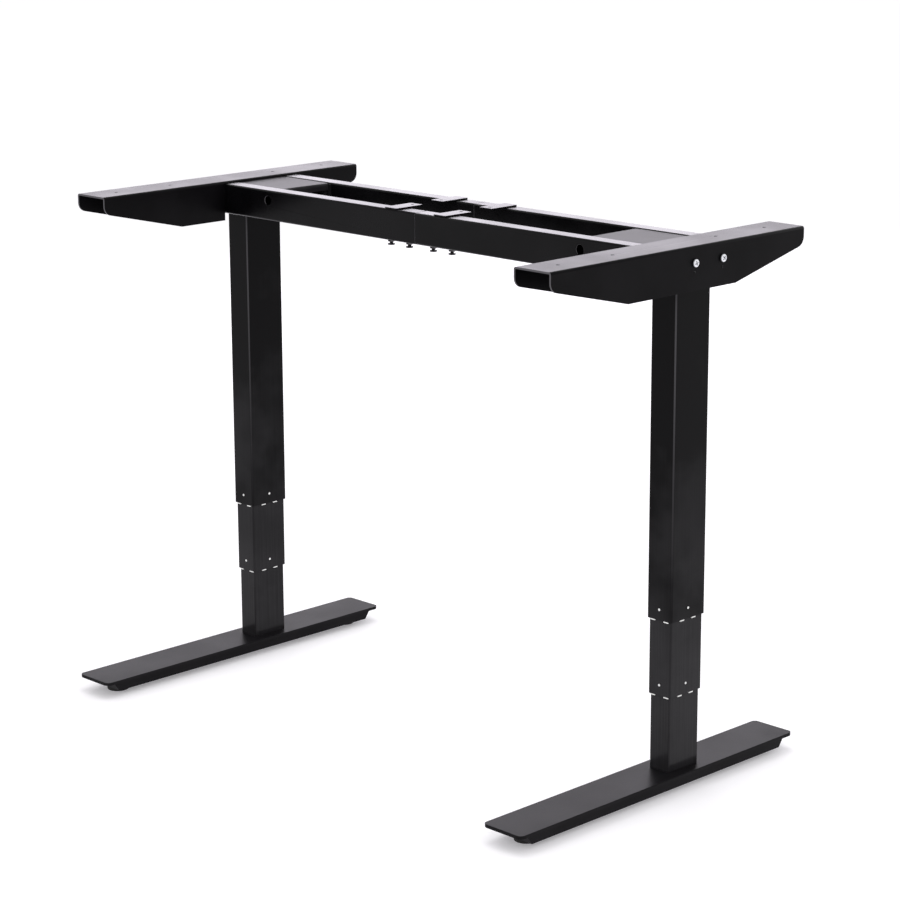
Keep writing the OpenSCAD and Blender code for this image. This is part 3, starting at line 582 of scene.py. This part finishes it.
# %% [markdown]
# ## Threads
# A thread is a radius that waves along the height and shifts by one pitch per turn. Seen as a surface
# it stays a plain grid, closed all round, because a full turn moves the wave by exactly one pitch.

# %% Thread formula
PITCH_6, PITCH_8 = 0.001, 0.00125    # of screws 6 mm and 8 mm thick
HAIR = 1e-6


def thread(outer, depth, pitch, low, high, run_out):
    """radius = outer - depth * w, where w is a triangle wave of (height - pitch * turns made) over pitch.
    The wave fades out over run_out at both ends, and radii other than the shank's are left alone."""
    def shape(radius, height, angle):
        phase = np.mod((height - pitch * angle / (2 * np.pi)) / pitch, 1.0)
        wave = np.abs(2 * phase - 1)
        fade = np.clip((height - low) / run_out, 0, 1) * np.clip((high - height) / run_out, 0, 1)
        on_shank = (np.abs(radius - outer) < HAIR) & (height >= low) & (height <= high)
        return np.where(on_shank, radius - depth * wave * fade, radius), height
    return shape


def both(first, second):
    """Applies one shape after another."""
    return lambda radius, height, angle: second(*first(radius, height, angle), angle)


print("pitches in mm:", 1000 * PITCH_6, "and", 1000 * PITCH_8)

# %% [markdown]
# ## Clamp screws
# Four short screws under each half press on the connecting bars and lock the width. Each has a wide
# thin head with a hex socket, and the photo shows a little of its thread between head and weld nut.
# The head is turned with the screw, and the socket is a dent whose depth follows a hexagon.

# %% The hex socket's formula
def hex_dent(across, depth, face):
    """Lifts the points of a face that looks down by depth where they lie inside a hexagon, with a steep
    soft wall. The hexagon's half width at an angle is across / 2 / cos(angle folded into 30 degrees)."""
    wall, near = 0.00012, 0.00026

    def shape(radius, height, angle):
        folded = np.mod(angle, np.pi / 3) - np.pi / 6
        limit = across / 2 / np.cos(folded)
        inside = np.clip((limit - radius) / wall + 0.5, 0, 1)
        on_face = np.abs(height - face) < near
        return radius, height + depth * inside * on_face
    return shape


# %% Clamp screw
SCREW_HEAD = 0.0022


def clamp_screw():
    """A screw that stands up from z = 0: head from -2.2 mm to 0, shank of 3 mm radius up to 10 mm. Its
    profile runs over the face with the socket, round the rim, up the shank and in to the middle."""
    head_r, socket_r, shank_r = 0.006, 0.0038, 0.003
    face, top = -SCREW_HEAD, 0.0100
    thread_top, step = top - 0.0003, 0.000125
    profile = np.vstack([
        rows_of(np.linspace(0.0, socket_r, 30), face),
        [(0.0050, face), (head_r - 0.0004, face + 0.0002), (head_r, face + 0.0007), (head_r, -0.0005)],
        [(head_r - 0.0003, -0.0001), (head_r - 0.0008, 0.0), (shank_r + 0.0003, 0.0), (shank_r, 0.0002)],
        rows_of(shank_r, np.arange(0.0004, thread_top, step)),
        [(shank_r - 0.0004, top), (0.0, top)]])
    winding = thread(shank_r, depth=0.00050, pitch=PITCH_6, low=0.0006, high=thread_top, run_out=0.0008)
    socket = hex_dent(across=0.005, depth=0.0014, face=face)
    return turned_mesh("clamp screw", profile, turns=48, shape=both(winding, socket))


screw_mesh = clamp_screw()

# %% [markdown]
# ## Where the screws sit
# All screws of one kind on one half are a single node of the frame, and the new ones must sit where
# they are. Their places could be written down again, but they would go wrong as soon as the frame
# changes. It is safer to find them in the node's own vertices, which lie in separate heaps.

# %% The heaps of a node's vertices
ROUNDS = 12    # more than enough for screws that stand well apart


def boxes_of(node, count):
    """The boxes of a CAD node's separate screws. The first centres are vertices far from each other. Then
    each vertex goes to its nearest centre and each centre to the middle of its vertices' box, in turns."""
    points = np.empty(len(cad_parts[node].data.vertices) * 3)
    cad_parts[node].data.vertices.foreach_get("co", points)
    points = points.reshape(-1, 3)
    centres = points[:1]
    while len(centres) < count:
        nearest = np.linalg.norm(points[:, None] - centres[None], axis=2).min(1)
        centres = np.vstack([centres, points[nearest.argmax()]])
    for _ in range(ROUNDS):
        owner = np.linalg.norm(points[:, None] - centres[None], axis=2).argmin(1)
        boxes = [(points[owner == i].min(0), points[owner == i].max(0)) for i in range(count)]
        centres = np.array([(low + high) / 2 for low, high in boxes])
    return boxes


print("left clamp screws are", len(boxes_of("left_clamp_screws", 4)), "heaps")

# %% Clamp screws in place
SCREW_TURN = 0.7    # radians from one screw to the next, so that their sockets differ
for side in OUTWARD:
    placed = []
    for i, (low, high) in enumerate(boxes_of(f"{side}_clamp_screws", 4)):
        x, y, _ = (low + high) / 2
        seat = Matrix.Translation((x, y, low[2] + SCREW_HEAD))
        placed.append(moved(screw_mesh, seat @ Matrix.Rotation(SCREW_TURN * i, 4, "Z")))
        print(side, "clamp screw at x", round(float(x), 4))
    piece_from(f"{side}_threaded_clamp_screws", placed, oxide,
               f"{side}_half", [f"{side}_clamp_screws"])

# %% [markdown]
# ## Bracket bolts
# Two bright bolts hold each bracket to the cradle of its leg. They have pan heads with a cross recess.
# The head is turned, and the cross is a dent that follows the smaller distance to two crossed slots.

# %% The cross recess's formula
def cross_dent(arm, width, depth, face_low):
    """Pushes the head's top down inside two crossed slots, arm long and width wide, deepest in the middle."""
    side_wall, end_wall, slope = 0.00035, 0.0006, 0.45

    def shape(radius, height, angle):
        x, y = np.abs(radius * np.cos(angle)), np.abs(radius * np.sin(angle))
        long_way, short_way = np.maximum(x, y), np.minimum(x, y)
        in_width = np.clip((width / 2 - short_way) / side_wall + 0.5, 0, 1)
        in_arm = np.clip((arm / 2 - long_way) / end_wall + 0.5, 0, 1)
        deeper = 1 - slope * long_way / (arm / 2)
        return radius, height - depth * in_width * in_arm * deeper * (height > face_low)
    return shape


# %% Bracket bolt
BOLT_HEAD = 0.0045


def pan_bolt():
    """A bolt along +Z: pan head of 13 mm across from z = 0 to 4.5 mm, 8 mm shank down to -14.5 mm. The
    crown is a flat parabola, and the shoulder a quarter of an ellipse."""
    head_r, shank_r, tail = 0.0065, 0.004, -0.0145
    crown_share, crown_drop, shoulder_drop = 0.80, 0.0006, 0.0022
    thread_end, step = tail + 0.0004, -0.00018
    spread = np.linspace(0.0, 1.0, 46)
    bend = np.linspace(0.1, math.pi / 2, 9)
    profile = np.vstack([
        rows_of(head_r * crown_share * spread, BOLT_HEAD - crown_drop * spread ** 2),
        rows_of(head_r * (crown_share + (1 - crown_share) * np.sin(bend)),
                BOLT_HEAD - crown_drop - shoulder_drop * (1 - np.cos(bend))),
        [(head_r, 0.0004), (head_r - 0.0003, 0.0), (shank_r + 0.0002, 0.0), (shank_r, -0.0002)],
        rows_of(shank_r, np.arange(-0.0004, thread_end, step)),
        [(shank_r - 0.0006, tail), (0.0, tail)]])
    recess = cross_dent(arm=0.0068, width=0.0014, depth=0.0019, face_low=0.0036)
    winding = thread(shank_r, depth=0.00065, pitch=PITCH_8, low=thread_end, high=-0.0006, run_out=0.001)
    return turned_mesh("pan bolt", profile, turns=72, shape=both(recess, winding))


bolt_mesh = pan_bolt()

# %% Bolts in place
FIRST_TURN, NEXT_TURN = 0.35, 0.5    # radians
for side, sign in OUTWARD.items():
    outward = Matrix.Rotation(sign * math.pi / 2, 4, "Y")
    placed = []
    for i, (low, high) in enumerate(boxes_of(f"{side}_bracket_bolts", 2)):
        _, y, z = (low + high) / 2
        tip_of_head = high[0] if sign > 0 else low[0]
        seat = Matrix.Translation((tip_of_head - sign * BOLT_HEAD, y, z))
        turn = Matrix.Rotation(FIRST_TURN + NEXT_TURN * i, 4, "Z")
        placed.append(moved(bolt_mesh, seat @ outward @ turn))
        print(side, "bolt at y", round(float(y), 4))
    piece_from(f"{side}_pan_head_bolts", placed, zinc_head, f"{side}_half", [f"{side}_bracket_bolts"])

# %% [markdown]
# ## Levelling pads
# Each foot stands on two pads that screw up into it. The pad is rubber with a ribbed rim for the
# fingers, under a threaded steel stud.

# %% The ribs' formula
def ribs(rim, count, depth, low, high):
    """radius falls by depth times the square of cos(count * angle / 2), which gives count hollows, and
    only near the rim and between two heights."""
    start, blend_width = rim - 0.002, 0.001

    def shape(radius, height, angle):
        near = np.clip((radius - start) / blend_width, 0, 1) * (height > low) * (height < high)
        return radius - depth * near * np.cos(count * angle / 2) ** 2, height
    return shape


# %% Pad and stud
STUD_FOOT = 0.0050    # height in the pad where the stud starts


def levelling_pad():
    """The pad, 38 mm across and 6 mm high, standing on z = 0, with a rounded rim, a flat top and a round
    hollow in it for the stud."""
    rim_r, rim_h, hollow_r = 0.019, 0.006, 0.0041
    profile = np.vstack([
        rows_of(np.linspace(0.0, 0.0178, 8), 0.0),
        [(0.0184, 0.0002), (0.0188, 0.0006), (rim_r, 0.0012), (rim_r, 0.0024), (rim_r, 0.0036)],
        [(0.0187, 0.0044), (0.0180, 0.0050), (0.0168, 0.0055), (0.0150, 0.0058)],
        [(0.0110, rim_h), (0.0060, rim_h), (hollow_r, rim_h), (hollow_r, STUD_FOOT), (0.0, STUD_FOOT)]])
    rim = ribs(rim_r, count=30, depth=0.0006, low=0.0003, high=0.0050)
    return turned_mesh("pad", profile, turns=120, shape=rim)


def levelling_stud():
    """The 8 mm stud from the pad's middle up to z = 24 mm."""
    stud_r, top = 0.004, 0.0240
    thread_top, step = top - 0.0006, 0.00018
    profile = np.vstack([
        [(0.0, STUD_FOOT), (stud_r, STUD_FOOT)],
        rows_of(stud_r, np.arange(STUD_FOOT + 0.0002, thread_top, step)),
        [(stud_r - 0.0006, top), (0.0, top)]])
    winding = thread(stud_r, depth=0.0006, pitch=PITCH_8, low=0.0064, high=thread_top, run_out=0.001)
    return turned_mesh("stud", profile, turns=40, shape=winding)


pad_mesh, stud_mesh = levelling_pad(), levelling_stud()

# %% Pads in place
for side in OUTWARD:
    for row in ROWS:
        low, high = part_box(f"{side}_{row}_glide")
        put = Matrix.Translation(((low.x + high.x) / 2, (low.y + high.y) / 2, low.z))
        piece_from(f"{side}_{row}_pad", [moved(pad_mesh, put)], rubber,
                   f"{side}_{row}_glide", [f"{side}_{row}_glide"])
        piece_from(f"{side}_{row}_stud", [moved(stud_mesh, put)], zinc, f"{side}_{row}_glide")
        print(side, row, "pad at", [round(v, 4) for v in put.translation])

# %% [markdown]
# ## Floor and background
# The picture needs a white room and a soft shadow near the feet. The floor is a pale plane. To the
# camera it also glows a little, so that it reads as white while its shadows still show, and mirrors
# see it the same way. The world gives an even fill light, and it too is a little brighter to the camera
# and to mirrors, where it is plain white.

# %% Rays that see the glow
def sight(graph):
    """1 for rays of the camera and of mirrors and glass, and 0 for all others."""
    camera_ray = graph.add("ShaderNodeLightPath", out="Is Camera Ray")
    mirror_ray = graph.add("ShaderNodeLightPath", out="Is Glossy Ray")
    glass_ray = graph.add("ShaderNodeLightPath", out="Is Transmission Ray")
    return camera_ray.most(mirror_ray).most(glass_ray)


# %% Floor
REACH, FLOOR_DROP = 14.0, 0.0002
FLOOR_GLOW = 0.26
corners = [(-REACH, -REACH, 0), (REACH, -REACH, 0), (REACH, REACH, 0), (-REACH, REACH, 0)]
floor_mesh = bpy.data.meshes.new("floor")
floor_mesh.from_pydata(corners, [], [(0, 1, 2, 3)])
floor = bpy.data.objects.new("floor", floor_mesh)
floor.location.z = -FLOOR_DROP
bpy.context.scene.collection.objects.link(floor)
paper = Finish("pale floor", Base_Color=(0.86, 0.85, 0.87, 1), Roughness=0.9, Specular_IOR_Level=0.0,
               Emission_Color=(1.0, 0.985, 1.02, 1))
floor_mesh.materials.append(paper.finished(Emission_Strength=sight(paper) * FLOOR_GLOW))
floor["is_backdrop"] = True
print("floor", 2 * REACH, "m wide")

# %% World
FILL_LIGHT, WORLD_GLOW = 0.88, 0.12    # together 1, which is white
world = bpy.context.scene.world or bpy.data.worlds.new("room")
bpy.context.scene.world = world
world.use_nodes = True
room = Graph(world.node_tree, "Background", Color=(1.0, 1.0, 1.0, 1))
room.feed(Strength=sight(room) * WORLD_GLOW + FILL_LIGHT)
print("fill light", FILL_LIGHT)

# %% [markdown]
# ## Lamps
# Satin black needs something bright to mirror. A wide lamp behind the frame gives the tops and covers
# their pale sheen, as they mirror it towards the camera at a grazing angle. A lamp overhead lights
# what faces up, and a small one beside the camera keeps the near faces from turning plain black.

# %% Lamps
def lamp(name, position, target, width, height, watts, colour=(1.0, 1.0, 1.0)):
    """A soft lamp that faces its target, with its sizes in metres."""
    data = bpy.data.lights.new(name, "AREA")
    data.shape, data.size, data.size_y = "RECTANGLE", width, height
    data.energy, data.color = watts, colour
    lamp_object = bpy.data.objects.new(name, data)
    bpy.context.scene.collection.objects.link(lamp_object)
    lamp_object.location = position
    lamp_object.rotation_euler = (Vector(target) - Vector(position)).to_track_quat("-Z", "Y").to_euler()
    print("lamp", name, watts, "W")


lamp("over", (-0.3, 0.4, 3.2), (0, 0.1, 0.4), width=1.8, height=1.8, watts=22)
lamp("behind", (-3.3, 3.4, 1.95), (0, 0.1, 0.8), width=3.4, height=1.9, watts=43,
     colour=(1.0, 0.93, 1.06))
lamp("camera side", (2.6, -3.3, 2.4), (0, 0, 0.5), width=1.0, height=1.0, watts=14)
bpy.context.scene.view_settings.view_transform = "Standard"

# %% [markdown]
# ## Last checks
# The dressed frame must fill the same box as its solids. The largest difference between both boxes is
# printed.

# %% Sizes
seen_low, seen_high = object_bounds()
misses = [abs(a - b) for a, b in zip([*cad_low, *cad_high], [*seen_low, *seen_high])]
print("largest difference in mm", round(1000 * max(misses), 2))
